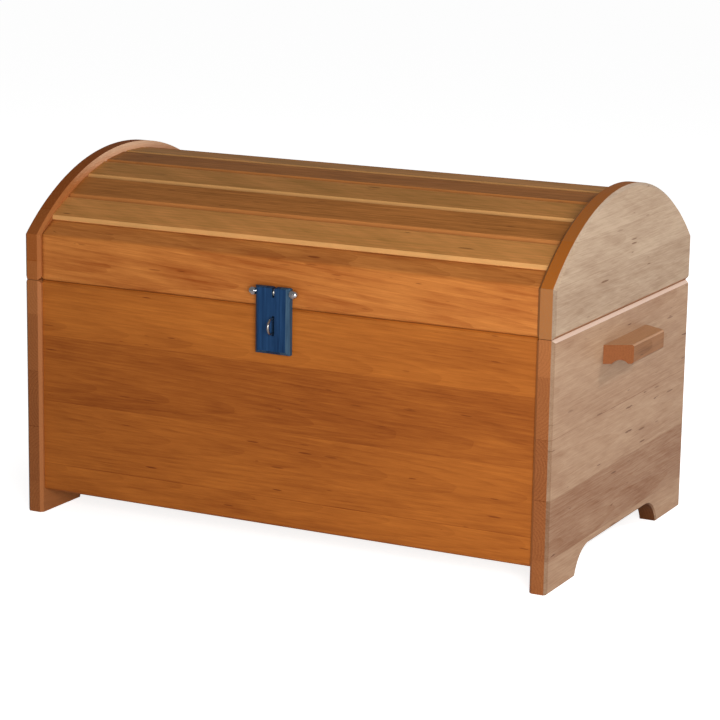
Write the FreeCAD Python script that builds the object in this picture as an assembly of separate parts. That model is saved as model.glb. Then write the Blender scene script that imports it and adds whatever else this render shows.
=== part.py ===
import FreeCAD, Part
import math
import os

# Overall sizes of the chest, in millimetres
LENGTH = 800.0            # over the outer faces of the ends
DEPTH = 498.0             # ends, front edge to rear edge
SEAM_HEIGHT = 335.0       # floor to the joint between box and lid
LID_UPRIGHT = 64.7        # straight part of the lid ends, above the joint
ARCH_RISE = 102.3         # arch of the lid ends, above the straight part
SEAM_GAP = 0.6            # air between the closed lid and the box

# Boards
END_T = 25.0
PANEL_T = 24.0            # front and back of the box
LID_BOARD_T = 32.0        # front and back of the lid, which carry the slats
PANEL_RECESS = 7.0        # panels lie this far inside the edges of the ends
SKIRT_HEIGHT = 33.0       # floor to the lower edge of the front and back
END_BEVEL = 4.0           # bevel round the edges of the ends
PANEL_BEVEL = 2.5
FOOT_BEVEL = 2.0
BOTTOM_T = 12.0
BOTTOM_LIFT = 14.0        # lower edge of the panels to the bottom board
GROOVE_DEPTH = 8.0
GROOVE_PLAY = 0.3

# Feet: each end is cut out between two feet
FOOT_LENGTH = 96.5
CUTOUT_HEIGHT = 35.0
COVE_RADIUS = 50.0

# Lid slats
SLAT_COUNT = 9
SLAT_T = 16.0
SLAT_RECESS = 9.0         # slats lie this far inside the arch of the ends
SLAT_BEVEL = 4.6
EDGE_SLAT_WIDTH = 50.7    # lowest slat at the front and at the back
EDGE_SLAT_LIFT = 5.0      # its lower edge stands this far out of the round
BOARD_BEVEL_RUN = 23.0    # face of a lid board to the lowest slat, level
BOARD_STEP = 5.8          # the lowest slat stands this proud of the board

# Glued dowels
DOWEL_RADIUS = 4.0
DOWEL_IN_END = 15.0
DOWEL_IN_BOARD = 25.0
DOWEL_EDGE = 46.0         # outermost dowels of a box panel to its edges
DOWELS_PER_EDGE = 4
LID_DOWEL_HEIGHTS = (16.0, 44.0)
SLAT_DOWEL_RADIUS = 3.0
GLUE_GAP = 0.05

# Handles: wooden blocks, screwed on from inside
HANDLE_DROP = 36.5        # joint down to the top of the handle
HANDLE_HEIGHT = 25.5
HANDLE_OUT = 34.5
HANDLE_FOOT_LENGTH = 158.0
HANDLE_TIP_LENGTH = 113.0
HANDLE_BEVEL = 2.0
COVE_WIDTH = 18.0         # finger cove under the handle
COVE_DEPTH = 5.2
COVE_OUT = 19.0           # end face to the middle of the cove
HANDLE_SCREW_SPACING = 80.0
HANDLE_SCREW_BITE = 20.0  # thread inside the handle
HANDLE_SCREW_UP = 17.0    # underside of the handle up to its screws

# Wood screws with countersunk heads
SCREW_RADIUS = 1.8
SCREW_HEAD_RADIUS = 3.6
SCREW_TIP = 3.0
SCREW_PLAY = 0.05

# Butt hinges on the back
HINGE_INSET = 170.0       # outer face of an end to the middle of a hinge
LEAF_LENGTH = 70.0
LEAF_HEIGHT = 32.0
LEAF_T = 2.0
KNUCKLE_RADIUS = 5.0
PIN_RADIUS = 2.4
PIN_HEAD_RADIUS = 3.8
PIN_HEAD_T = 1.5
HINGE_SCREW_LENGTH = 16.0
RUN_GAP = 0.3             # between pieces that move past each other
RUN_CLEARANCE = 0.05      # a pin in its hole

# Hasp: a stained wooden tab on a rod, over a staple ring
HASP_X = -2.5             # middle of the tab
RING_SHIFT = 2.5          # ring, staple and their slots, right of the tab's middle
ROD_RISE = 21.3           # joint up to the rod
ROD_RADIUS = 2.4
TAB_WIDTH = 52.0
TAB_T = 11.0
TAB_GAP = 3.0             # air behind the tab
TAB_DROP = 83.3           # rod down to the lower edge of the tab
TAB_BEVEL = 4.5
EYE_WIRE_RADIUS = 1.5
EYE_SLOT_PLAY = 0.4
NOTCH_DEPTH = 2.5
STAPLE_DROP = 23.0        # joint down to the middle of the staple
STAPLE_RADIUS = 12.0      # outside of the staple's bow
STAPLE_WIRE_RADIUS = 1.5
STAPLE_STAND = 3.0        # front of the tab to the middle of the bow
STAPLE_SLOT_PLAY = 0.4
STAPLE_SLOT_END_PLAY = 1.8
EYE_BITE = 16.0           # shank of the ring, or a leg of the staple, inside its board
WASHER_RADIUS = 5.0
WASHER_T = 1.2
NUT_RADIUS = 5.9          # over the corners of the hexagon
NUT_HEIGHT = 5.0
NUT_DOME_RADIUS = 5.1
ROD_IN_NUT = 6.0

# Lid stay: a slotted arm between the lid's and the box's left ends
LID_OPEN_ANGLE = 100.0
STAY_REACH = 120.0        # hinge line to the pivot, and to the stud
STAY_ANGLE = 10.0         # pivot above and stud below the joint, from the hinge
ARM_WIDTH = 16.0
ARM_T = 3.0
STUD_RADIUS = 3.0
STUD_BITE = 14.0
STUD_COLLAR_RADIUS = 6.0
STUD_COLLAR_T = 1.0
STUD_HEAD_RADIUS = 6.5
STUD_HEAD_T = 2.5

# Places that follow from the sizes above
x_out = LENGTH / 2
x_in = x_out - END_T
box_top = SEAM_HEIGHT - SEAM_GAP / 2
lid_bottom = SEAM_HEIGHT + SEAM_GAP / 2
spring_z = SEAM_HEIGHT + LID_UPRIGHT
apex_z = spring_z + ARCH_RISE
arch_radius = ((DEPTH / 2) ** 2 + ARCH_RISE ** 2) / (2 * ARCH_RISE)
arch_z = apex_z - arch_radius

staple_tip = TAB_GAP + TAB_T + STAPLE_STAND + STAPLE_RADIUS - PANEL_RECESS
knuckle_tip = 2 * KNUCKLE_RADIUS + RUN_GAP - PANEL_RECESS
y_front = (staple_tip - knuckle_tip - DEPTH) / 2
y_rear = y_front + DEPTH
y_mid = (y_front + y_rear) / 2
face_front = y_front + PANEL_RECESS
face_rear = y_rear - PANEL_RECESS
inner_front = face_front + PANEL_T
inner_rear = face_rear - PANEL_T
bottom_z = SKIRT_HEIGHT + BOTTOM_LIFT

hinge_y = face_rear + RUN_GAP + KNUCKLE_RADIUS
rod_y = face_front - TAB_GAP - TAB_T / 2
rod_z = SEAM_HEIGHT + ROD_RISE
ring_x = HASP_X + RING_SHIFT
staple_y = rod_y - TAB_T / 2 - STAPLE_STAND
staple_z = SEAM_HEIGHT - STAPLE_DROP

slat_radius = arch_radius - SLAT_RECESS
edge_radius = slat_radius + EDGE_SLAT_LIFT
slat_edge_angle = math.asin((DEPTH / 2 - PANEL_RECESS - BOARD_BEVEL_RUN) / edge_radius)
edge_slat_angle = EDGE_SLAT_WIDTH / slat_radius
slat_pitch = 2 * (slat_edge_angle - edge_slat_angle) / (SLAT_COUNT - 2)

AXIS_X = FreeCAD.Vector(1, 0, 0)
AXIS_Y = FreeCAD.Vector(0, 1, 0)
AXIS_Z = FreeCAD.Vector(0, 0, 1)
NEAR = 0.01               # edges this near to a plane lie in it


def point(x, y, z):
    return FreeCAD.Vector(x, y, z)


def block(x0, x1, y0, y1, z0, z1):
    return Part.makeBox(x1 - x0, y1 - y0, z1 - z0, point(x0, y0, z0))


def rod(radius, start, direction, length):
    return Part.makeCylinder(radius, length, start, direction)


def cross_bar(outline, x0, x1):
    """A bar along X, with the closed outline given as (y, z) corners."""
    corners = [point(x0, y, z) for y, z in outline]
    face = Part.Face(Part.makePolygon(corners + corners[:1]))
    return face.extrude(AXIS_X * (x1 - x0))


def mirrored(outline):
    """The same outline on the other side of the chest's middle plane, front to back."""
    return [(2 * y_mid - y, z) for y, z in reversed(outline)]


def bevelled(solid, size, wanted):
    """Bevel the edges whose bounding box passes the test."""
    edges = [edge for edge in solid.Edges if wanted(edge.BoundBox)]
    return solid.makeChamfer(size, edges)


def in_plane_x(box, x):
    return abs(box.XMin - x) < NEAR and abs(box.XMax - x) < NEAR


def along_x(box):
    return box.YLength < NEAR and box.ZLength < NEAR


def save(name, *solids):
    shape = solids[0] if len(solids) == 1 else Part.makeCompound(list(solids))
    shape.exportStep("parts/" + name + ".step")


def screw(head, direction, length, play=0.0):
    """A countersunk screw whose head is flush at the point given; play widens it for a hole."""
    head_height = SCREW_HEAD_RADIUS - SCREW_RADIUS
    shank_radius = SCREW_RADIUS + play
    cone = Part.makeCone(SCREW_HEAD_RADIUS + play, shank_radius, head_height, head, direction)
    shank = rod(shank_radius, head, direction, length - SCREW_TIP)
    tip_start = head + direction * (length - SCREW_TIP)
    tip = Part.makeCone(shank_radius, shank_radius / 4, SCREW_TIP, tip_start, direction)
    return cone.fuse([shank, tip]).removeSplitter()


def screw_hole(head, direction, length):
    return screw(head, direction, length + SCREW_PLAY, SCREW_PLAY)


def slot_bar(y, z_low, z_high, radius, x0, x1):
    """A bar along X with an upright slot outline: two half circles joined by straight sides."""
    low = rod(radius, point(x0, y, z_low), AXIS_X, x1 - x0)
    high = rod(radius, point(x0, y, z_high), AXIS_X, x1 - x0)
    middle = block(x0, x1, y - radius, y + radius, z_low, z_high)
    return middle.fuse([low, high]).removeSplitter()


os.makedirs("parts", exist_ok=True)

# Dowels: between the ends and the box panels, the lid boards and the slats
dowel_rise = (box_top - SKIRT_HEIGHT - 2 * DOWEL_EDGE) / (DOWELS_PER_EDGE - 1)
box_dowel_heights = [SKIRT_HEIGHT + DOWEL_EDGE + i * dowel_rise for i in range(DOWELS_PER_EDGE)]
panel_lines = (face_front + PANEL_T / 2, face_rear - PANEL_T / 2)
box_dowel_spots = [(y, z) for y in panel_lines for z in box_dowel_heights]
board_lines = (face_front + LID_BOARD_T / 2, face_rear - LID_BOARD_T / 2)
lid_dowel_spots = [(y, lid_bottom + h) for y in board_lines for h in LID_DOWEL_HEIGHTS]


def slat_angles(index):
    """Angles of a slat's two edges from the top of the arch, front slat first."""
    inner = slat_edge_angle - edge_slat_angle
    edges = [-slat_edge_angle]
    edges += [-inner + i * slat_pitch for i in range(SLAT_COUNT - 1)]
    edges += [slat_edge_angle]
    return edges[index], edges[index + 1]


def arch_point(radius, angle):
    return y_mid + radius * math.sin(angle), arch_z + radius * math.cos(angle)


def from_arch_middle(place):
    return math.hypot(place.y - y_mid, place.z - arch_z)


def slat_outline(index):
    """Corners of a slat's cross-section; the lowest edges of the round are lifted."""
    low, high = slat_angles(index)
    low_radius = edge_radius if index == 0 else slat_radius
    high_radius = edge_radius if index == SLAT_COUNT - 1 else slat_radius
    return [
        arch_point(low_radius, low),
        arch_point(high_radius, high),
        arch_point(high_radius - SLAT_T, high),
        arch_point(low_radius - SLAT_T, low),
    ]


def middle_of(outline):
    return tuple(sum(values) / len(outline) for values in zip(*outline))


slat_dowel_spots = [middle_of(slat_outline(i)) for i in range(SLAT_COUNT)]


def dowel_pair(spot, radius, play=0.0):
    """A dowel across the joint at each end of the chest; play widens it for a hole."""
    y, z = spot
    length = DOWEL_IN_BOARD + DOWEL_IN_END + 2 * play
    right = rod(radius + play, point(x_in - DOWEL_IN_BOARD - play, y, z), AXIS_X, length)
    left = rod(radius + play, point(-x_in - DOWEL_IN_END - play, y, z), AXIS_X, length)
    return [left, right]


def dowel_holes(spots, radius):
    return [hole for spot in spots for hole in dowel_pair(spot, radius, GLUE_GAP)]


box_holes = dowel_holes(box_dowel_spots, DOWEL_RADIUS)
lid_holes = dowel_holes(lid_dowel_spots, DOWEL_RADIUS)
slat_holes = dowel_holes(slat_dowel_spots, SLAT_DOWEL_RADIUS)

# Screws of the handles, through the ends from inside
handle_top = SEAM_HEIGHT - HANDLE_DROP
handle_low = handle_top - HANDLE_HEIGHT
handle_screw_z = handle_low + HANDLE_SCREW_UP
handle_screws = []
handle_screw_holes = []
for side in (-1, 1):
    for shift in (-HANDLE_SCREW_SPACING / 2, HANDLE_SCREW_SPACING / 2):
        head = point(side * x_in, y_mid + shift, handle_screw_z)
        length = END_T + HANDLE_SCREW_BITE
        handle_screws.append(screw(head, AXIS_X * side, length))
        handle_screw_holes.append(screw_hole(head, AXIS_X * side, length))

# Studs of the lid stay: one screwed into the box end, one into the lid end
stay_rise = STAY_REACH * math.sin(math.radians(STAY_ANGLE))
stay_y = hinge_y - STAY_REACH * math.cos(math.radians(STAY_ANGLE))
pivot_z = SEAM_HEIGHT + stay_rise
stud_z = SEAM_HEIGHT - stay_rise
arm_x = -x_in + STUD_COLLAR_T + RUN_GAP


def stud(z):
    """Shoulder screw: thread in the board, collar, plain neck through the arm, and head."""
    base = point(-x_in, stay_y, z)
    thread = rod(STUD_RADIUS, base - AXIS_X * STUD_BITE, AXIS_X, STUD_BITE)
    neck_length = STUD_COLLAR_T + ARM_T + 2 * RUN_GAP
    neck = rod(STUD_RADIUS, base, AXIS_X, neck_length)
    collar = rod(STUD_COLLAR_RADIUS, base, AXIS_X, STUD_COLLAR_T)
    head = rod(STUD_HEAD_RADIUS, base + AXIS_X * neck_length, AXIS_X, STUD_HEAD_T)
    return thread.fuse([neck, collar, head]).removeSplitter()


def stud_hole(z):
    start = point(-x_in - STUD_BITE - SCREW_PLAY, stay_y, z)
    return rod(STUD_RADIUS + SCREW_PLAY, start, AXIS_X, STUD_BITE + SCREW_PLAY)


# Box ends: boards with two feet, a cut-out with coved corners and bevelled edges
cove_z = CUTOUT_HEIGHT - COVE_RADIUS
cove_run = math.sqrt(COVE_RADIUS ** 2 - cove_z ** 2)
cove_half = math.atan2(-cove_z, cove_run)
cove_mid_angle = (cove_half + math.pi / 2) / 2


def box_end_outline(x):
    """Wire of the end board, with the cut-out's two coves as arcs."""
    def at(y, z):
        return point(x, y, z)

    front_cove = y_front + FOOT_LENGTH + cove_run
    rear_cove = y_rear - FOOT_LENGTH - cove_run
    mid_run = COVE_RADIUS * math.cos(cove_mid_angle)
    mid_z = cove_z + COVE_RADIUS * math.sin(cove_mid_angle)
    up_front = [at(y_front + FOOT_LENGTH, 0), at(y_front, 0), at(y_front, box_top)]
    down_rear = [
        at(y_rear - END_BEVEL, box_top),
        at(y_rear, box_top - END_BEVEL),
        at(y_rear, 0),
        at(y_rear - FOOT_LENGTH, 0),
    ]
    corners = up_front + down_rear
    edges = [Part.makeLine(a, b) for a, b in zip(corners, corners[1:])]
    rear_top = at(rear_cove, CUTOUT_HEIGHT)
    front_top = at(front_cove, CUTOUT_HEIGHT)
    edges.append(Part.Arc(corners[-1], at(rear_cove + mid_run, mid_z), rear_top).toShape())
    edges.append(Part.makeLine(rear_top, front_top))
    edges.append(Part.Arc(front_top, at(front_cove - mid_run, mid_z), corners[0]).toShape())
    return Part.Wire(edges)


for name, side in (("box_end_left", -1), ("box_end_right", 1)):
    outer = side * x_out
    inner = side * x_in
    board = Part.Face(box_end_outline(inner)).extrude(AXIS_X * (outer - inner))
    for face in (outer, inner):
        board = bevelled(board, END_BEVEL, lambda b: in_plane_x(b, face) and b.ZMax > CUTOUT_HEIGHT + NEAR)
    board = bevelled(board, FOOT_BEVEL, lambda b: in_plane_x(b, outer) and b.ZMax < CUTOUT_HEIGHT + NEAR)
    groove_end = inner + side * GROOVE_DEPTH
    groove = block(
        min(inner, groove_end), max(inner, groove_end),
        inner_front - GROOVE_DEPTH, inner_rear + GROOVE_DEPTH,
        bottom_z - GROOVE_PLAY / 2, bottom_z + BOTTOM_T + GROOVE_PLAY / 2,
    )
    cuts = box_holes + handle_screw_holes + [groove]
    if side < 0:
        cuts.append(stud_hole(stud_z))
    save(name, board.cut(cuts))

# Front and back of the box: boards between the ends, grooved for the bottom
box_panel = [
    (face_front, SKIRT_HEIGHT),
    (face_front, box_top),
    (inner_front, box_top),
    (inner_front, SKIRT_HEIGHT),
]
bottom_groove = block(
    -x_in, x_in, inner_front - GROOVE_DEPTH, inner_rear + GROOVE_DEPTH,
    bottom_z - GROOVE_PLAY / 2, bottom_z + BOTTOM_T + GROOVE_PLAY / 2,
)
staple_seat = face_front + EYE_BITE
staple_bend = STAPLE_RADIUS - STAPLE_WIRE_RADIUS
staple_leg_heights = (staple_z - staple_bend, staple_z + staple_bend)
staple_holes = [
    rod(STAPLE_WIRE_RADIUS + SCREW_PLAY, point(ring_x, face_front, z), AXIS_Y, EYE_BITE + SCREW_PLAY)
    for z in staple_leg_heights
]
front_panel = cross_bar(box_panel, -x_in, x_in)
front_panel = bevelled(front_panel, PANEL_BEVEL, lambda b: along_x(b) and b.YMax < face_front + NEAR)
back_panel = cross_bar(mirrored(box_panel), -x_in, x_in)
back_panel = bevelled(back_panel, PANEL_BEVEL, lambda b: along_x(b) and b.YMin > face_rear - NEAR)

# Bottom board, loose in its grooves
bottom_reach = GROOVE_DEPTH - GROOVE_PLAY
save("box_bottom", block(
    -x_in - bottom_reach, x_in + bottom_reach,
    inner_front - bottom_reach, inner_rear + bottom_reach,
    bottom_z, bottom_z + BOTTOM_T,
))
save("box_dowels", *[d for spot in box_dowel_spots for d in dowel_pair(spot, DOWEL_RADIUS)])

# Handles: blocks narrower at the tip, with a finger cove along the underside
cove_r = (COVE_WIDTH ** 2 / 4 + COVE_DEPTH ** 2) / (2 * COVE_DEPTH)
for name, side in (("handle_left", -1), ("handle_right", 1)):
    seat = side * x_out
    tip = side * (x_out + HANDLE_OUT)
    plan = [
        point(seat, y_mid - HANDLE_FOOT_LENGTH / 2, handle_low),
        point(tip, y_mid - HANDLE_TIP_LENGTH / 2, handle_low),
        point(tip, y_mid + HANDLE_TIP_LENGTH / 2, handle_low),
        point(seat, y_mid + HANDLE_FOOT_LENGTH / 2, handle_low),
    ]
    grip = Part.Face(Part.makePolygon(plan + plan[:1])).extrude(AXIS_Z * HANDLE_HEIGHT)
    grip = bevelled(grip, HANDLE_BEVEL, lambda b: in_plane_x(b, tip) and b.ZLength < NEAR)
    cove_x = seat + side * COVE_OUT
    cove_axis_z = handle_low + COVE_DEPTH - cove_r
    cove_start = point(cove_x, y_mid - HANDLE_FOOT_LENGTH / 2, cove_axis_z)
    cove = rod(cove_r, cove_start, AXIS_Y, HANDLE_FOOT_LENGTH)
    save(name, grip.cut([cove] + handle_screw_holes))
save("handle_screws", *handle_screws)

# Staple: a wire bent to a half ring on edge, with two straight legs back into the front board
bow = Part.makeTorus(staple_bend, STAPLE_WIRE_RADIUS, point(ring_x, staple_y, staple_z), AXIS_X)
bow_reach = STAPLE_RADIUS + STAPLE_WIRE_RADIUS
bow_front = block(
    ring_x - bow_reach, ring_x + bow_reach, staple_y - bow_reach, staple_y,
    staple_z - bow_reach, staple_z + bow_reach,
)
staple_legs = [
    rod(STAPLE_WIRE_RADIUS, point(ring_x, staple_y, z), AXIS_Y, staple_seat - staple_y)
    for z in staple_leg_heights
]
save("hasp_staple", bow.common(bow_front).fuse(staple_legs).removeSplitter())
save("stay_stud", stud(stud_z))

# Butt hinges: a leaf on the back of the box, a leaf on the back of the lid, and a pin
knuckle_length = LEAF_LENGTH / 3
leaf_start = KNUCKLE_RADIUS + RUN_GAP
screw_line = (leaf_start + LEAF_HEIGHT) / 2
leaf_screw_shifts = (-LEAF_LENGTH / 3, 0, LEAF_LENGTH / 3)


def hinge_leaf(middle, up, knuckles):
    """A flat leaf and its share of the three knuckles; up is 1 for the lid's leaf."""
    def band(near, far):
        low, high = sorted((SEAM_HEIGHT + up * near, SEAM_HEIGHT + up * far))
        return low, high

    plate_low, plate_high = band(leaf_start, LEAF_HEIGHT)
    left = middle - LEAF_LENGTH / 2
    plate = block(left, left + LEAF_LENGTH, face_rear, face_rear + LEAF_T, plate_low, plate_high)
    strap_low, strap_high = band(0, leaf_start)
    pieces = []
    for index in knuckles:
        start = left + index * knuckle_length + RUN_GAP / 2
        length = knuckle_length - RUN_GAP
        strap_face = face_rear + RUN_GAP
        pieces.append(block(start, start + length, strap_face, strap_face + LEAF_T, strap_low, strap_high))
        pieces.append(rod(KNUCKLE_RADIUS, point(start, hinge_y, SEAM_HEIGHT), AXIS_X, length))
    leaf = plate.fuse(pieces).removeSplitter()
    bore = rod(PIN_RADIUS + RUN_CLEARANCE, point(left, hinge_y, SEAM_HEIGHT), AXIS_X, LEAF_LENGTH)
    holes = [screw_hole(head, -AXIS_Y, HINGE_SCREW_LENGTH) for head in leaf_screw_heads(middle, up)]
    return leaf.cut([bore] + holes)


def leaf_screw_heads(middle, up):
    z = SEAM_HEIGHT + up * screw_line
    return [point(middle + shift, face_rear + LEAF_T, z) for shift in leaf_screw_shifts]


def hinge_pin(middle):
    start = point(middle - LEAF_LENGTH / 2, hinge_y, SEAM_HEIGHT)
    shaft = rod(PIN_RADIUS, start, AXIS_X, LEAF_LENGTH)
    low_head = rod(PIN_HEAD_RADIUS, start - AXIS_X * PIN_HEAD_T, AXIS_X, PIN_HEAD_T)
    high_head = rod(PIN_HEAD_RADIUS, start + AXIS_X * LEAF_LENGTH, AXIS_X, PIN_HEAD_T)
    return shaft.fuse([low_head, high_head]).removeSplitter()


hinge_offset = x_out - HINGE_INSET
hinge_middles = (("left", -hinge_offset), ("right", hinge_offset))
box_screws = []
lid_screws = []
hinge_holes = {-1: [], 1: []}
for name, middle in hinge_middles:
    save("box_hinge_leaf_" + name, hinge_leaf(middle, -1, (0, 2)))
    save("lid_hinge_leaf_" + name, hinge_leaf(middle, 1, (1,)))
    for up, screws in ((-1, box_screws), (1, lid_screws)):
        for head in leaf_screw_heads(middle, up):
            screws.append(screw(head, -AXIS_Y, HINGE_SCREW_LENGTH))
            hinge_holes[up].append(screw_hole(head, -AXIS_Y, HINGE_SCREW_LENGTH))
save("hinge_pins", *[hinge_pin(middle) for name, middle in hinge_middles])
save("box_hinge_screws", *box_screws)
save("lid_hinge_screws", *lid_screws)
save("box_front", front_panel.cut(box_holes + staple_holes + [bottom_groove]))
save("box_back", back_panel.cut(box_holes + [bottom_groove] + hinge_holes[-1]))

# Lid ends: upright below, arched above, bevelled all round
for name, side in (("lid_end_left", -1), ("lid_end_right", 1)):
    outer = side * x_out
    inner = side * x_in
    corners = [
        point(inner, y_rear, spring_z),
        point(inner, y_rear, lid_bottom + END_BEVEL),
        point(inner, y_rear - END_BEVEL, lid_bottom),
        point(inner, y_front, lid_bottom),
        point(inner, y_front, spring_z),
    ]
    edges = [Part.makeLine(a, b) for a, b in zip(corners, corners[1:])]
    edges.append(Part.Arc(corners[-1], point(inner, y_mid, apex_z), corners[0]).toShape())
    board = Part.Face(Part.Wire(edges)).extrude(AXIS_X * (outer - inner))
    for face in (outer, inner):
        board = bevelled(board, END_BEVEL, lambda b: in_plane_x(b, face))
    cuts = lid_holes + slat_holes
    if side < 0:
        cuts = cuts + [stud_hole(pivot_z)]
    save(name, board.cut(cuts))

# Lid boards: upright faces with the top planed to the slope of the arch
board_top = arch_point(edge_radius - BOARD_STEP, -slat_edge_angle)
board_inner = face_front + LID_BOARD_T
seat_run = (board_inner - board_top[0]) / math.tan(slat_edge_angle)
lid_board = [
    (face_front, lid_bottom),
    (face_front, spring_z),
    board_top,
    (board_inner, board_top[1] - seat_run),
    (board_inner, lid_bottom),
]


def lower_outer_edge(b):
    """The long edge of a lid board beside the joint, on its outside."""
    nearest = min(abs(b.YMin - y_mid), abs(b.YMax - y_mid))
    outside = nearest > y_mid - board_top[0] - NEAR
    return along_x(b) and outside and b.ZMax < lid_bottom + NEAR


eye_seat = face_front + EYE_BITE
eye_hole = rod(
    EYE_WIRE_RADIUS + SCREW_PLAY, point(ring_x, face_front, rod_z), AXIS_Y, EYE_BITE + SCREW_PLAY,
)
lid_front = bevelled(cross_bar(lid_board, -x_in, x_in), PANEL_BEVEL, lower_outer_edge)
lid_back = bevelled(cross_bar(mirrored(lid_board), -x_in, x_in), PANEL_BEVEL, lower_outer_edge)
save("lid_front", lid_front.cut(lid_holes + [eye_hole]))
save("lid_back", lid_back.cut(lid_holes + hinge_holes[1]))

# Lid slats: flat staves side by side round the arch, bevelled along their upper edges
for index in range(SLAT_COUNT):
    stave = cross_bar(slat_outline(index), -x_in, x_in)
    top_face = max(stave.Faces, key=lambda f: from_arch_middle(f.CenterOfMass))
    long_edges = [edge for edge in top_face.Edges if along_x(edge.BoundBox)]
    stave = stave.makeChamfer(SLAT_BEVEL, long_edges)
    holes = dowel_holes([slat_dowel_spots[index]], SLAT_DOWEL_RADIUS)
    save("lid_slat_" + str(index + 1), stave.cut(holes))
lid_dowels = [d for spot in lid_dowel_spots for d in dowel_pair(spot, DOWEL_RADIUS)]
lid_dowels += [d for spot in slat_dowel_spots for d in dowel_pair(spot, SLAT_DOWEL_RADIUS)]
save("lid_dowels", *lid_dowels)

# Hasp: screw ring in the lid, rod through ring and tab, washers and cap nuts
eye_radius = ROD_RADIUS + RUN_CLEARANCE + 2 * EYE_WIRE_RADIUS
eye_bend = eye_radius - EYE_WIRE_RADIUS
eye_ring = Part.makeTorus(eye_bend, EYE_WIRE_RADIUS, point(ring_x, rod_y, rod_z), AXIS_X)
shank_y = rod_y + eye_bend
eye_shank = rod(EYE_WIRE_RADIUS, point(ring_x, shank_y, rod_z), AXIS_Y, eye_seat - shank_y)
save("hasp_eye", eye_ring.fuse(eye_shank).removeSplitter())
save("stay_pivot", stud(pivot_z))

tab_left = HASP_X - TAB_WIDTH / 2
tab_right = HASP_X + TAB_WIDTH / 2
tab_head_radius = TAB_GAP + TAB_T / 2 - RUN_GAP
tab_shoulder = math.sqrt(tab_head_radius ** 2 - (TAB_T / 2) ** 2)
tab_low = rod_z - TAB_DROP
tab_corners = [
    point(tab_left, rod_y - TAB_T / 2, rod_z + tab_shoulder),
    point(tab_left, rod_y - TAB_T / 2, tab_low),
    point(tab_left, rod_y + TAB_T / 2, tab_low),
    point(tab_left, rod_y + TAB_T / 2, rod_z + tab_shoulder),
]
tab_edges = [Part.makeLine(a, b) for a, b in zip(tab_corners, tab_corners[1:])]
tab_crown = point(tab_left, rod_y, rod_z + tab_head_radius)
tab_edges.append(Part.Arc(tab_corners[-1], tab_crown, tab_corners[0]).toShape())
tab = Part.Face(Part.Wire(tab_edges)).extrude(AXIS_X * TAB_WIDTH)
tab_face = rod_y - TAB_T / 2
tab = bevelled(tab, TAB_BEVEL, lambda b: abs(b.YMax - tab_face) < NEAR and b.ZMin < rod_z)
rod_bore = rod(ROD_RADIUS + GLUE_GAP, point(tab_left, rod_y, rod_z), AXIS_X, TAB_WIDTH)
eye_half = EYE_WIRE_RADIUS + EYE_SLOT_PLAY
tab_reach = TAB_T + TAB_GAP
eye_slot = block(
    ring_x - eye_half, ring_x + eye_half, rod_y - tab_reach, rod_y + tab_reach,
    rod_z - eye_radius - EYE_SLOT_PLAY, rod_z + tab_reach,
)
notch_top = rod_z + tab_head_radius + eye_half
notch_half = eye_half + NOTCH_DEPTH + eye_half
notch_corners = [
    point(ring_x - notch_half, rod_y - tab_reach, notch_top),
    point(ring_x + notch_half, rod_y - tab_reach, notch_top),
    point(ring_x, rod_y - tab_reach, notch_top - notch_half),
]
notch = Part.Face(Part.makePolygon(notch_corners + notch_corners[:1])).extrude(AXIS_Y * 2 * tab_reach)
slot_half = STAPLE_WIRE_RADIUS + STAPLE_SLOT_PLAY
slot_reach = STAPLE_RADIUS + STAPLE_SLOT_END_PLAY - slot_half
slot_ends = [
    rod(slot_half, point(ring_x, rod_y - tab_reach, staple_z + end), AXIS_Y, 2 * tab_reach)
    for end in (-slot_reach, slot_reach)
]
slot_middle = block(
    ring_x - slot_half, ring_x + slot_half, rod_y - tab_reach, rod_y + tab_reach,
    staple_z - slot_reach, staple_z + slot_reach,
)
staple_slot = slot_middle.fuse(slot_ends).removeSplitter()
save("hasp_tab", tab.cut([rod_bore, eye_slot, notch, staple_slot]))

rod_reach = TAB_WIDTH / 2 + WASHER_T + ROD_IN_NUT
hasp_rod_start = point(HASP_X - rod_reach, rod_y, rod_z)
save("hasp_rod", rod(ROD_RADIUS, hasp_rod_start, AXIS_X, 2 * rod_reach))
washers = []
nuts = []
for side in (-1, 1):
    out = AXIS_X * side
    seat = point(HASP_X + side * TAB_WIDTH / 2, rod_y, rod_z)
    washer = rod(WASHER_RADIUS, seat, out, WASHER_T)
    bore = rod(ROD_RADIUS + GLUE_GAP, seat, out, WASHER_T + ROD_IN_NUT + GLUE_GAP)
    washers.append(washer.cut(bore))
    nut_seat = seat + out * WASHER_T
    turns = [math.radians(60 * i) for i in range(6)]
    hexagon = [
        nut_seat + AXIS_Y * (NUT_RADIUS * math.cos(t)) + AXIS_Z * (NUT_RADIUS * math.sin(t)) for t in turns
    ]
    nut = Part.Face(Part.makePolygon(hexagon + hexagon[:1])).extrude(out * NUT_HEIGHT)
    dome = Part.makeSphere(NUT_DOME_RADIUS, nut_seat + out * NUT_HEIGHT)
    nuts.append(nut.fuse(dome).removeSplitter().cut(bore))
save("hasp_washers", *washers)
save("hasp_nuts", *nuts)

# Stay arm: hangs from the lid's stud, and slides on the box's stud through its slot
reach_shut = 2 * stay_rise
half_swing = math.radians(STAY_ANGLE + LID_OPEN_ANGLE / 2)
reach_open = 2 * STAY_REACH * math.sin(half_swing)
arm_end = pivot_z - reach_open - ARM_WIDTH / 2
slot_low = pivot_z - reach_open
slot_high = pivot_z - reach_shut
arm = slot_bar(stay_y, arm_end, pivot_z, ARM_WIDTH / 2, arm_x, arm_x + ARM_T)
arm_slot = slot_bar(stay_y, slot_low, slot_high, STUD_RADIUS + RUN_GAP, arm_x, arm_x + ARM_T)
arm_hole = rod(STUD_RADIUS + RUN_CLEARANCE, point(arm_x, stay_y, pivot_z), AXIS_X, ARM_T)
save("stay_arm", arm.cut([arm_slot, arm_hole]))
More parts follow.
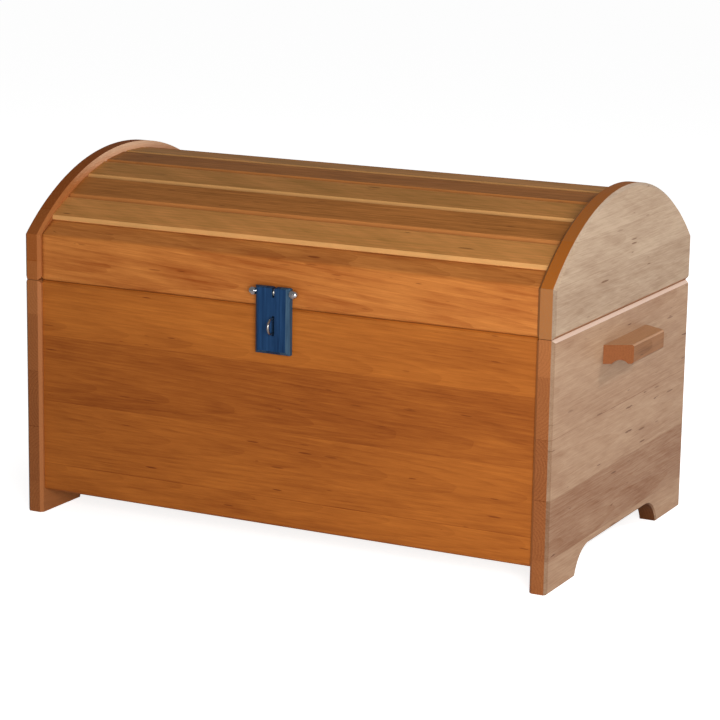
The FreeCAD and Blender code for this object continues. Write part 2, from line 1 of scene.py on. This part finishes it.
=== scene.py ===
from math import radians

import bpy
import numpy as np
from mathutils import Matrix

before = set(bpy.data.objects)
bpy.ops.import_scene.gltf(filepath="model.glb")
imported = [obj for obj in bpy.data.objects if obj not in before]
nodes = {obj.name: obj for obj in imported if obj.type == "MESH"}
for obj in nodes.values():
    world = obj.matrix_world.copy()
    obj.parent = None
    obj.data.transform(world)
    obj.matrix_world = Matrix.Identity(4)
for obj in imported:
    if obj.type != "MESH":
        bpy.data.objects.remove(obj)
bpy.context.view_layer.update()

# Box ends
# Two 25 mm boards glued up from five staves of hardwood, the grain running from front to back; the pale outer
# faces are painted light, window light and sheen from the right.
# Feet are sawn at their lower corners; the edges are bevelled, and the sawn edges are darker, partly as end
# grain that drinks more oil, partly because the outer faces carry the painted light.


def srgb(red, green, blue):
    """A colour as a paint card gives it, 0 to 255, as the linear light that a shader takes."""
    share = np.array([red, green, blue]) / 255
    linear = np.where(share < 0.04045, share / 12.92, ((share + 0.055) / 1.055) ** 2.4)
    return (*linear, 1.0)


def blank_material(name):
    """A new material and its shader tree, still empty."""
    material = bpy.data.materials.new(name)
    material.use_nodes = True
    material.node_tree.nodes.clear()
    return material, material.node_tree


def shade(tree, kind, inputs=None, **settings):
    """One shader node. An input that is a socket is linked to it, and any other input is set."""
    made = tree.nodes.new("ShaderNode" + kind)
    for key, value in settings.items():
        setattr(made, key, value)
    for key, value in (inputs or {}).items():
        if isinstance(value, bpy.types.NodeSocket):
            tree.links.new(value, made.inputs[key])
        else:
            made.inputs[key].default_value = value
    return made


def work(tree, operation, *values):
    """One step of arithmetic on sockets and numbers."""
    return shade(tree, "Math", dict(enumerate(values)), operation=operation).outputs[0]


def sums(tree, *terms):
    """A sum of (socket, weight) products, as a chain of multiply-add nodes that starts at 0."""
    total = 0.0
    for socket, weight in terms:
        total = work(tree, "MULTIPLY_ADD", socket, weight, total)
    return total


def ramped(tree, value, start, end, first=0.0, last=1.0, blend="LINEAR"):
    """A number that runs from `first`, where the value is at `start`, to `last`, where it is at `end`."""
    return shade(tree, "MapRange", {"Value": value, "From Min": start, "From Max": end, "To Min": first,
                                    "To Max": last}, interpolation_type=blend).outputs[0]


def between(tree, share, first, second):
    """The colour that lies at `share` of the way from the first colour to the second."""
    return shade(tree, "Mix", {"Factor": share, 6: first, 7: second}, data_type="RGBA").outputs[2]


def scaled(tree, colour, share):
    """A colour times a number, as a darker stain of it."""
    return shade(tree, "VectorMath", {0: colour, "Scale": share}, operation="SCALE").outputs[0]


def stave_values(tree, unit, staves, ring):
    """What its stave gives to a place, as a ramp of steps across the board: the tone, the place of the log's
    heart, the tone where cut, and a number of its own. The heart lies off the stave's middle by a share of
    the stave's width times a sine of its count. A thin, richer line stands at each glue joint."""
    glue, glue_tone, off_middle = 0.0004, 0.25, 0.35
    edges = np.array([row[0] for row in staves])
    wide = edges[-1] - edges[0]
    marks = (edges - edges[0]) / wide
    steps = shade(tree, "ValToRGB", {0: unit})
    ramp = steps.color_ramp
    ramp.interpolation = "CONSTANT"
    for i, (_, tone, cut_tone) in enumerate(staves[:-1]):
        start, end = marks[i:i + 2]
        pith = (start + end) / 2 + off_middle * (end - start) * np.sin(7.3 * i + 4000 * ring)
        own = (0.618 * (i + 1) + 100 * ring) % 1
        row = (tone, pith, cut_tone, own)
        if i:
            line = (tone + glue_tone, pith, cut_tone + glue_tone, own)
            ramp.elements.new(start - glue / wide).color = line
            ramp.elements.new(start + glue / wide).color = row
        else:
            ramp.elements[0].color = row
    ramp.elements[-1].position = 1.0
    ramp.elements[-1].color = row
    return (*shade(tree, "SeparateColor", {0: steps.outputs["Color"]}).outputs, steps.outputs["Alpha"])


def fleck_share(tree, along, across, shift, cloudy, fibres, flecks, size):
    """How much of a fleck is at a place: cells drawn out along the grain hold one fleck each, of its own
    width and strength, and it shows where the cell's chance lies under a share of the cloudy noise."""
    long, thin = 15.0 / size, 140.0 / size
    place = shade(tree, "CombineXYZ", {"X": sums(tree, (along, long), (shift, 5.0)),
                                       "Y": sums(tree, (across, thin), (along, 4.0))}).outputs[0]
    cells = shade(tree, "TexVoronoi", {"Vector": place, "Scale": 1.0}, voronoi_dimensions="2D").outputs
    chance = shade(tree, "SeparateColor", {0: cells["Color"]}).outputs
    crowd = work(tree, "MULTIPLY_ADD", cloudy, 8.0 * flecks, -3.2 * flecks)
    chosen = work(tree, "LESS_THAN", chance["Red"], crowd)
    inside = sums(tree, (cells["Distance"], -1.0), (chance["Green"], 0.2), (fibres, 0.1))
    near = ramped(tree, inside, -0.06, 0.06, blend="SMOOTHSTEP")
    strength = work(tree, "MULTIPLY_ADD", chance["Blue"], 0.7, 0.3)
    return work(tree, "MULTIPLY", work(tree, "MULTIPLY", near, chosen), strength)


def oiled_wood(name, pale, rich, cut_pale, cut_rich, grain, stack, staves, outer=False, bevel_cut=False,
               shaded_under=None, highlight=0.0, highlight_colour=None, arch=None, lit_heights=None, face=0.0, heart=0.06, ring=0.004,
               lean=0.0, taper=0.02, wander=5.0, figure=0.12, fibre=0.7, streak=0.6, mottle=0.6,
               ripple=0.25, flecks=0.1, fleck_size=1.0, fleck_colour=srgb(92, 52, 32), cut_ring=0.12,
               ease=0.0008, oil=0.12):
    """Solid wood, worked out in space so that figure, end grain and joints agree on all sides.

    Growth rings: a sawtooth of the distance to the log's heart, a line along the grain that lies `heart`
    under the `face`, leans across the board and rises by `taper`; slow noise makes the rings wander.
    The richness of a place is its stave's tone plus shares of ring (`figure`), fibre, streak, mottle and
    ripple noise, and the colour runs from pale to rich by it. Faces across the grain run from cut_pale to
    cut_rich, and so do the edges and, with less richness, the inner side of an `outer` board. A stave is
    (lower edge, tone, tone where cut); the last row is only the upper edge.

    The upright arrises of an `outer` board are dimmer, as painted shade; with `bevel_cut` its bevels have the
    colour of the edges. A place under a board, given by its middle and half length along the grain and its
    height, is darker, as painted shade.
    Painted highlights, a paler colour painted where lamp light and sheen fall, turn places toward the
    highlight
    colour by the given share: bevels that face upward; or, with an `arch` about (y, z), bevels at 45 degrees
    to its radius; or, with a pair of heights, the inner side, from none to all between them. Arrises are
    rounded to the radius `ease`, and `oil` gives the sheen."""
    material, tree = blank_material(name)
    where = shade(tree, "TexCoord").outputs
    axes = shade(tree, "SeparateXYZ", {0: where["Object"]}).outputs
    turned = shade(tree, "SeparateXYZ", {0: where["Normal"]}).outputs
    deep = ({"X", "Y", "Z"} - {grain, stack}).pop()
    along, across = axes[grain], axes[stack]
    through = work(tree, "ABSOLUTE", axes[deep])
    low, high = staves[0][0], staves[-1][0]
    unit = ramped(tree, across, low, high)
    tone, pith, cut_tone, shift = stave_values(tree, unit, staves, ring)

    aside = work(tree, "SUBTRACT", unit, pith)
    slow, apart = 0.06, 9.0  # rings wander slowly along the log, and each stave is another log
    log = shade(tree, "CombineXYZ", {"X": sums(tree, (along, slow), (shift, apart)),
                                     "Y": sums(tree, (aside, high - low), (along, lean)),
                                     "Z": sums(tree, (along, taper), (through, 1.0))}).outputs[0]
    log = shade(tree, "VectorMath", {0: log, 1: (0.0, 0.0, heart - face)}).outputs[0]
    plain_ring = 0.314  # the width of a ring at scale 1
    rings = shade(tree, "TexWave", {"Vector": log, "Scale": plain_ring / ring, "Distortion": wander,
                                    "Detail": 3.0, "Detail Scale": 14.0 * ring / plain_ring,
                                    "Detail Roughness": 0.6},
                  wave_type="RINGS", rings_direction="X", wave_profile="SAW").outputs["Fac"]
    late = work(tree, "POWER", rings, 1.6)

    def noise(run, side, detail, skew=0.0):
        """Noise drawn out along the grain: `run` and `side` are its features per metre."""
        place = shade(tree, "CombineXYZ", {"X": sums(tree, (along, run), (across, skew), (shift, 31.0)),
                                           "Y": sums(tree, (across, side), (along, side * lean)),
                                           "Z": sums(tree, (through, side))}).outputs[0]
        return shade(tree, "TexNoise", {"Vector": place, "Scale": 1.0, "Detail": detail,
                                        "Roughness": 0.65}).outputs["Fac"]

    fibres = noise(run=24.0, side=560.0, detail=4.0)
    streaks = noise(run=3.5, side=150.0, detail=3.0)
    cloudy = noise(run=4.0, side=18.0, detail=5.0)
    bands = noise(run=16.0, side=9.0, detail=3.0, skew=40.0)
    fleck = fleck_share(tree, along, across, shift, cloudy, fibres, flecks, fleck_size)

    mean_noise, mean_ring, mean_cut_ring = 0.5, 0.38, 0.4
    depth = ((late, figure), (fibres, fibre), (streaks, streak), (cloudy, mottle), (bands, ripple))
    level = -mean_ring * figure - mean_noise * (fibre + streak + mottle + ripple)
    richness = work(tree, "ADD", sums(tree, (tone, 1.0), *depth), level)
    cut_depth = ((late, cut_ring), (fibres, fibre))
    cut_level = -mean_cut_ring * cut_ring - mean_noise * fibre
    cut_richness = work(tree, "ADD", sums(tree, (cut_tone, 1.0), *cut_depth), cut_level)
    plank = between(tree, richness, pale, rich)
    inner_share, arris_shade, under_shade_share = 0.3, 0.72, 0.42
    if outer:
        side = work(tree, "SIGN", axes[deep])
        lifted = work(tree, "MULTIPLY_ADD", turned["Z"], 0.5, 1.0)
        outward = work(tree, "MULTIPLY", work(tree, "MULTIPLY", turned[deep], side), lifted)
        flat = 0.95 if bevel_cut else 0.65
        sawn = ramped(tree, outward, flat, flat - 0.25, blend="SMOOTHSTEP")
        inner = ramped(tree, outward, -0.3, -0.6, first=1.0, last=inner_share)
        cut_richness = work(tree, "MULTIPLY", cut_richness, inner)
        # Painted shade: the upright bevels are dimmed.
        arris = work(tree, "COMPARE", outward, 0.707, 0.12)
        plank = scaled(tree, plank, ramped(tree, arris, 0.0, 1.0, first=1.0, last=arris_shade))
    else:
        sawn = ramped(tree, work(tree, "ABSOLUTE", turned[grain]), 0.4, 0.75, blend="SMOOTHSTEP")
    cut = between(tree, cut_richness, cut_pale, cut_rich)
    # Painted shade: the inside of the sawn feet, under the chest, is darkened.
    if shaded_under:
        middle, reach, height = shaded_under
        under = work(tree, "LESS_THAN", across, height)
        within = work(tree, "COMPARE", along, middle, reach)
        under_shade = work(tree, "MULTIPLY", under, within)
        cut = scaled(tree, cut, ramped(tree, under_shade, 0.0, 1.0, first=1.0, last=under_shade_share))
    colour = between(tree, sawn, between(tree, fleck, plank, fleck_colour), cut)

    # Painted highlights: a paler colour painted where lamp light and sheen fall, made patchy by the fibres.
    if highlight:
        if arch:
            radius = shade(tree, "VectorMath", {0: where["Object"], 1: (0.0, *arch)}, operation="SUBTRACT")
            radius = shade(tree, "VectorMath", {0: radius.outputs[0], 1: (0.0, 1.0, 1.0)},
                           operation="MULTIPLY")
            radius = shade(tree, "VectorMath", {0: radius.outputs[0]}, operation="NORMALIZE")
            tilt = shade(tree, "VectorMath", {0: radius.outputs[0], 1: where["Normal"]},
                         operation="DOT_PRODUCT").outputs["Value"]
            highlit = ramped(tree, tilt, 0.9, 0.8)
        elif lit_heights:
            highlit = ramped(tree, outward, -0.3, -0.6, last=ramped(tree, axes["Z"], *lit_heights))
        else:
            highlit = ramped(tree, turned["Z"], 0.3, 0.65)
            if outer:
                highlit = ramped(tree, outward, 0.3, 0.6, last=highlit)
        patchy = sums(tree, (highlit, 1.0), (fibres, -0.3))
        highlight_share = ramped(tree, patchy, 0.0, 0.85, last=highlight, blend="SMOOTHSTEP")
        colour = between(tree, highlight_share, colour, highlight_colour)

    eased = shade(tree, "Bevel", {"Radius": ease}, samples=6).outputs[0]
    pores = sums(tree, (fibres, 0.6), (streaks, 0.3), (late, 0.2))
    bump = shade(tree, "Bump", {"Height": pores, "Strength": 0.1, "Distance": 0.0006, "Normal": eased})
    smoothest = 0.33
    dull = work(tree, "ADD", sums(tree, (fibres, 0.2), (late, 0.06)), smoothest)
    surface = shade(tree, "BsdfPrincipled", {"Base Color": colour, "Roughness": dull,
                                             "Specular IOR Level": oil, "Normal": bump.outputs[0]})
    shade(tree, "OutputMaterial", {"Surface": surface.outputs[0]})
    return material


def dress(material, *names):
    """Gives CAD nodes a finish by their material slots."""
    for name in names:
        nodes[name].data.materials.clear()
        nodes[name].data.materials.append(material)


END_FACE = 0.4  # outer side of an end, from the middle of the chest
MIDDLE = 0.00935  # middle of the ends, from front to back
SEAM = 0.335  # height where the lid meets the box
# Painted light and shade: the insides of the feet are darkened as shade under the chest, the upright bevels
# dimmed, and the bevels facing up paler as a painted highlight.
end_wood = oiled_wood(
    "end_boards", pale=srgb(188, 154, 124), rich=srgb(124, 72, 38), cut_pale=srgb(180, 113, 64),
    cut_rich=srgb(112, 55, 23), grain="Y", stack="Z",
    staves=[(0.0, 0.3, 0.5), (0.044, 0.6, 0.58), (0.124, 0.27, 0.62), (0.204, 0.27, 0.5),
            (0.286, 0.23, 0.3), (SEAM, 0, 0)],
    outer=True, shaded_under=(MIDDLE, 0.154, 0.05), highlight=0.8, highlight_colour=srgb(230, 200, 180), face=END_FACE, heart=0.05,
    ring=0.0042, figure=0.08, fibre=0.85, streak=0.2, mottle=1.15, ripple=0.4, flecks=0.08, fleck_size=0.8,
    fleck_colour=srgb(108, 66, 42), cut_ring=0.2)
dress(end_wood, "box_end_left", "box_end_right")

# Front and back of the box
# Two 24 mm boards between the ends, each glued up from wide staves with the grain running along the chest.
# They stand 7 mm inside the edges of the ends and carry the hasp's ring in front, the hinges behind.
FRONT_FACE = 0.2327
BACK_FACE = 0.2514
BOARD_FOOT = 0.033
front_wood = oiled_wood(
    "front_board", pale=srgb(190, 111, 43), rich=srgb(124, 58, 17), cut_pale=srgb(170, 100, 44),
    cut_rich=srgb(112, 58, 22), grain="X", stack="Z",
    staves=[(BOARD_FOOT, 0.38, 0.4), (0.072, 0.44, 0.5), (0.162, 0.6, 0.5), (0.256, 0.35, 0.3),
            (SEAM, 0, 0)],
    face=FRONT_FACE, heart=0.045, ring=0.0036, lean=0.01, taper=0.035, wander=7.0, figure=0.13, fibre=0.75,
    streak=0.5, mottle=0.95, flecks=0.05, fleck_size=0.6, fleck_colour=srgb(116, 54, 18))
dress(front_wood, "box_front")
back_wood = oiled_wood(
    "back_board", pale=srgb(190, 114, 50), rich=srgb(128, 64, 22), cut_pale=srgb(170, 100, 44),
    cut_rich=srgb(112, 58, 22), grain="X", stack="Z",
    staves=[(BOARD_FOOT, 0.45, 0.4), (0.098, 0.35, 0.5), (0.187, 0.55, 0.5), (0.27, 0.4, 0.3),
            (SEAM, 0.5, 0.4), (0.4, 0, 0)],
    face=BACK_FACE, heart=0.05, ring=0.0041, lean=-0.008, fibre=0.9, flecks=0.03,
    fleck_colour=srgb(104, 46, 16))
dress(back_wood, "box_back", "lid_back")

# Bottom and dowels
# A 12 mm board of plain pale wood, let into grooves of the front and back; the grain runs along the chest.
# Grooved beech dowels are glued through the butt joints of the boards and hidden in them.
bottom_wood = oiled_wood(
    "bottom_board", pale=srgb(204, 160, 112), rich=srgb(150, 102, 60), cut_pale=srgb(180, 126, 80),
    cut_rich=srgb(130, 82, 46), grain="X", stack="Y",
    staves=[(-0.22, 0.4, 0.4), (-0.1, 0.5, 0.5), (0.02, 0.35, 0.4), (0.13, 0.5, 0.5), (0.24, 0, 0)],
    face=0.047, heart=0.05, ring=0.005, flecks=0.02)
dress(bottom_wood, "box_bottom")
dowel_wood = oiled_wood(
    "dowels", pale=srgb(214, 182, 140), rich=srgb(176, 136, 96), cut_pale=srgb(196, 152, 108),
    cut_rich=srgb(150, 106, 70), grain="X", stack="Z", staves=[(0.0, 0.4, 0.4), (0.5, 0, 0)], flecks=0.2,
    fleck_size=0.4, fleck_colour=srgb(160, 116, 80))
dress(dowel_wood, "box_dowels", "lid_dowels")

# Handles
# A block of red-brown hardwood on each end, tapered in plan, with a shallow cove underneath for the fingers.
# The grain runs along the block, and two screws hold it from inside.
# Its top is paler, as a painted highlight: light from above painted onto the faces that face up.
handle_wood = oiled_wood(
    "handle_blocks", pale=srgb(166, 114, 72), rich=srgb(104, 64, 36), cut_pale=srgb(164, 97, 52),
    cut_rich=srgb(96, 50, 22), grain="Y", stack="Z", staves=[(0.27, 0.4, 0.4), (0.3, 0, 0)], highlight=0.4,
    highlight_colour=srgb(218, 166, 122), face=END_FACE, heart=0.02, ring=0.0032, figure=0.2, fibre=0.75, flecks=0.1,
    fleck_size=0.4, fleck_colour=srgb(96, 60, 38), cut_ring=0.06)
dress(handle_wood, "handle_left", "handle_right")

# Lid ends
# Two arched 25 mm boards of the same wood, glued up from three staves and sawn round; the grain runs
# from front to back, so the rim shows end grain where it springs and long grain at the top; the outer faces
# are painted pale, as window light and sheen.
APEX = 0.502
# Painted light: the inner side turns paler toward the top, as light from above.
lid_end_look = dict(
    grain="Y", stack="Z", outer=True, highlight=1.0, highlight_colour=srgb(246, 205, 170), lit_heights=(0.44, 0.53), face=END_FACE,
    figure=0.08, fibre=0.85, streak=0.2, mottle=1.0, ripple=0.45, flecks=0.04, fleck_size=0.8,
    fleck_colour=srgb(112, 72, 46))
# Both lid ends: the faces of the upper staves are paler, as painted sheen, and the cut tones of the rim are
# richer above the lowest stave, as painted shade toward the top.
right_end_wood = oiled_wood(
    "lid_end_right_board", pale=srgb(198, 172, 146), rich=srgb(126, 88, 60), cut_pale=srgb(160, 108, 66),
    cut_rich=srgb(181, 98, 22), heart=0.045, ring=0.0046, oil=0.06,
    staves=[(SEAM, 0.35, 0.15), (0.4, 0.18, 0.75), (0.45, 0.12, 0.6), (APEX, 0, 0)], **lid_end_look)
dress(right_end_wood, "lid_end_right")
left_end_wood = oiled_wood(
    "lid_end_left_board", pale=srgb(200, 160, 126), rich=srgb(128, 82, 52), cut_pale=srgb(174, 108, 60),
    cut_rich=srgb(138, 62, 6), heart=0.055, ring=0.0043, oil=0.03,
    staves=[(SEAM, 0.3, 0.3), (0.362, 0.3, 0.5), (0.43, 0.2, 0.65), (APEX, 0, 0)], **lid_end_look)
dress(left_end_wood, "lid_end_left")

# Lid front board
# One flat-sawn 32 mm board between the lid ends, planed to a slope along its upper edge.
# Its broad flame figure runs along the chest.
lid_board_wood = oiled_wood(
    "lid_front_board", pale=srgb(214, 136, 66), rich=srgb(146, 68, 20), cut_pale=srgb(176, 104, 48),
    cut_rich=srgb(116, 60, 24), grain="X", stack="Z", staves=[(SEAM, 0.4, 0.4), (0.425, 0, 0)],
    face=FRONT_FACE, heart=0.035, ring=0.0075, lean=0.05, taper=0.04, wander=9.0, figure=0.18, fibre=0.75,
    streak=0.9, mottle=1.3, flecks=0.05, fleck_size=0.6, fleck_colour=srgb(124, 58, 20), ease=0.007)
dress(lid_board_wood, "lid_front")

# Lid slats
# Nine 16 mm slats laid round the arch, bevelled along their edges, of two woods in turn: an olive-pale one
# with a rippled figure and a brown one with straight fine grain.
ARCH_CENTRE = (MIDDLE, 0.1478)
slat_look = dict(grain="X", stack="Y", arch=ARCH_CENTRE, face=0.49, fleck_size=0.7, oil=0.15)
# The stave tones, one stave to a slat, are richest near the top of the arch, as painted shade on the slats
# that face up; the bevels along the slats are paler, as painted highlights.
pale_slat_wood = oiled_wood(
    "pale_slats", pale=srgb(220, 148, 80), rich=srgb(136, 97, 34), cut_pale=srgb(176, 122, 66),
    cut_rich=srgb(130, 84, 40), highlight=0.55, highlight_colour=srgb(232, 178, 114), heart=0.03, ring=0.005,
    staves=[(-0.24, 0.26, 0.4), (-0.138, 0.4, 0.4), (-0.04, 0.52, 0.4), (0.08, 0.5, 0.4), (0.18, 0.4, 0.4),
            (0.26, 0, 0)],
    fibre=0.75, streak=0.4, mottle=0.8, ripple=0.9, flecks=0.03, fleck_colour=srgb(120, 72, 32), **slat_look)
dress(pale_slat_wood, *[f"lid_slat_{n}" for n in (1, 3, 5, 7, 9)])
brown_slat_wood = oiled_wood(
    "brown_slats", pale=srgb(193, 122, 58), rich=srgb(112, 64, 16), cut_pale=srgb(160, 100, 50),
    cut_rich=srgb(110, 64, 28), highlight=0.5, highlight_colour=srgb(206, 134, 74), heart=0.04, ring=0.0035,
    staves=[(-0.24, 0.3, 0.4), (-0.09, 0.41, 0.4), (0.01, 0.5, 0.4), (0.1, 0.4, 0.4), (0.26, 0, 0)],
    fibre=1.3, streak=0.9, flecks=0.04, fleck_colour=srgb(100, 52, 20), **slat_look)
dress(brown_slat_wood, *[f"lid_slat_{n}" for n in (2, 4, 6, 8)])

# Hinges
# Two steel butt hinges on the back: stamped leaves with rolled knuckles, a pin with a formed head, and
# countersunk screws. Zinc-plated, satin, with the faint streaks of the rolled sheet.


def plated_steel(name, colour, rough, streak, coarse):
    """Metal whose roughness and shade follow noise: streaks along X, `coarse` per metre, and a soft cloud."""
    dimmest, drawn_out = 0.72, 0.05
    material, tree = blank_material(name)
    where = shade(tree, "TexCoord").outputs["Object"]
    stretch = (coarse * drawn_out, coarse, coarse)
    rolled = shade(tree, "Mapping", {"Vector": where, "Scale": stretch}).outputs[0]
    lines = shade(tree, "TexNoise", {"Vector": rolled, "Scale": 1.0, "Detail": 4.0}).outputs["Fac"]
    cloud = shade(tree, "TexNoise", {"Vector": where, "Scale": 90.0, "Detail": 3.0}).outputs["Fac"]
    tone = ramped(tree, sums(tree, (lines, streak), (cloud, 0.3)), 0.1, 0.5)
    dim = tuple(dimmest * c for c in colour[:3]) + (1.0,)
    dull = work(tree, "ADD", sums(tree, (lines, 0.25 * streak), (cloud, 0.12)), rough - 0.1)
    eased = shade(tree, "Bevel", {"Radius": 0.0003}, samples=4).outputs[0]
    bump = shade(tree, "Bump", {"Height": lines, "Strength": 0.08, "Distance": 0.0002, "Normal": eased})
    surface = shade(tree, "BsdfPrincipled", {"Base Color": between(tree, tone, dim, colour), "Metallic": 1.0,
                                             "Roughness": dull, "Normal": bump.outputs[0]})
    shade(tree, "OutputMaterial", {"Surface": surface.outputs[0]})
    return material


zinc = plated_steel("zinc_plate", srgb(196, 197, 200), rough=0.38, streak=0.6, coarse=1500.0)
dress(zinc, "box_hinge_leaf_left", "box_hinge_leaf_right", "lid_hinge_leaf_left", "lid_hinge_leaf_right",
      "hinge_pins")
screw_steel = plated_steel("screw_plate", srgb(132, 132, 136), rough=0.3, streak=0.3, coarse=900.0)
dress(screw_steel, "box_hinge_screws", "lid_hinge_screws", "handle_screws")

# Hasp
# A wooden tab, stained dark blue so that the upright grain still shows, hangs on a steel rod that a screw
# ring carries on the lid. Washers and domed nuts close the rod; a half ring on the box holds the tab.
# The sides and bevels take the much paler cut colours: painted light from the right.
tab_wood = oiled_wood(
    "blue_tab", pale=srgb(42, 77, 118), rich=srgb(12, 33, 64), cut_pale=srgb(84, 116, 136),
    cut_rich=srgb(18, 40, 70), grain="Z", stack="X", outer=True, bevel_cut=True, face=0.2467, heart=0.03,
    ring=0.003, staves=[(-0.03, 0.5, 0.75), (-0.01, 0.45, 0.9), (0.01, 0.5, 0.62), (0.03, 0, 0)],
    fibre=1.0, streak=1.2, flecks=0.0, oil=0.06)
dress(tab_wood, "hasp_tab")
nickel = plated_steel("bright_plate", srgb(226, 226, 230), rough=0.16, streak=0.2, coarse=900.0)
dress(nickel, "hasp_nuts", "hasp_washers", "hasp_rod")
ring_steel = plated_steel("ring_plate", srgb(190, 186, 178), rough=0.26, streak=0.3, coarse=900.0)
dress(ring_steel, "hasp_staple", "hasp_eye")

# Lid stay
# A flat slotted arm of the same zinc-plated steel, inside the left end.
# It turns on a stud of the lid and slides on a stud of the box.
dress(zinc, "stay_arm", "stay_stud", "stay_pivot")

# Floor
# A plain pale floor, wide enough to reach out of sight.
# Where the camera sees it, it also glows, so it reads as white and keeps a shadow.
FLOOR_REACH = 30.0
FLOOR_GLOW = 0.8
corners = FLOOR_REACH * np.array([(-1, -1, 0), (1, -1, 0), (1, 1, 0), (-1, 1, 0)])
floor_mesh = bpy.data.meshes.new("floor")
floor_mesh.from_pydata(corners.tolist(), [], [(0, 1, 2, 3)])
floor = bpy.data.objects.new("floor", floor_mesh)
bpy.context.scene.collection.objects.link(floor)
floor_paint, tree = blank_material("pale_floor")
seen = shade(tree, "LightPath").outputs["Is Camera Ray"]
matt = shade(tree, "BsdfDiffuse", {"Color": (0.9, 0.9, 0.9, 1.0)})
lit = shade(tree, "Emission", {"Color": (1.0, 1.0, 1.0, 1.0),
                               "Strength": work(tree, "MULTIPLY", seen, FLOOR_GLOW)})
both = shade(tree, "AddShader", {0: matt.outputs[0], 1: lit.outputs[0]})
shade(tree, "OutputMaterial", {"Surface": both.outputs[0]})
floor_mesh.materials.append(floor_paint)

# Light
# A soft white room with three windows: a wide one in front to the right, a small one to the right and
# behind, and a wide faint one further behind.
ROOM = 0.2
world = bpy.data.worlds.new("room")
bpy.context.scene.world = world
world.use_nodes = True
tree = world.node_tree
tree.nodes.clear()
seen = shade(tree, "LightPath").outputs["Is Camera Ray"]
air = shade(tree, "Background", {"Color": (1.0, 1.0, 1.0, 1.0),
                                 "Strength": ramped(tree, seen, 0.0, 1.0, first=ROOM, last=1.0)})
shade(tree, "OutputWorld", {"Surface": air.outputs[0]})


def window(name, place, target, size, power):
    """A square soft lamp at `place` that faces `target`: its -Z axis lies along the line between them."""
    lamp = bpy.data.lights.new(name, "AREA")
    lamp.shape = "SQUARE"
    lamp.size = size
    lamp.energy = power
    made = bpy.data.objects.new(name, lamp)
    bpy.context.scene.collection.objects.link(made)
    east, north, up = np.subtract(target, place)
    tilt = np.arctan2(np.hypot(east, north), -up)
    turn = np.arctan2(north, east) - np.pi / 2
    made.location = place
    made.rotation_euler = (tilt, 0.0, turn)


window("front_window", place=(1.4, -2.1, 0.7), target=(0.0, -0.2, 0.25), size=1.2, power=45.0)
window("side_window", place=(2.05, 1.6, 1.7), target=(0.4, 0.0, 0.25), size=0.5, power=30.5)
window("back_window", place=(1.05, 2.6, 1.66), target=(0.4, 0.0, 0.33), size=1.4, power=11.0)

# Camera
# A long lens, a little above the chest and to its right.
# It is turned to the left, dips toward the chest and is held with a slight roll.
CAMERA_PLACE = (1.5688, -3.08325, 0.9807)
TURN, DIP, ROLL = radians(26.888), radians(12.408), radians(0.928)
camera_data = bpy.data.cameras.new("camera")
camera_data.lens = 124.8
camera_data.sensor_width = 36.0
camera = bpy.data.objects.new("camera", camera_data)
bpy.context.scene.collection.objects.link(camera)
camera.matrix_world = (Matrix.Translation(CAMERA_PLACE) @ Matrix.Rotation(TURN, 4, "Z")
                       @ Matrix.Rotation(radians(90) - DIP, 4, "X") @ Matrix.Rotation(ROLL, 4, "Z"))
bpy.context.scene.camera = camera
bpy.context.scene.view_settings.view_transform = "Standard"
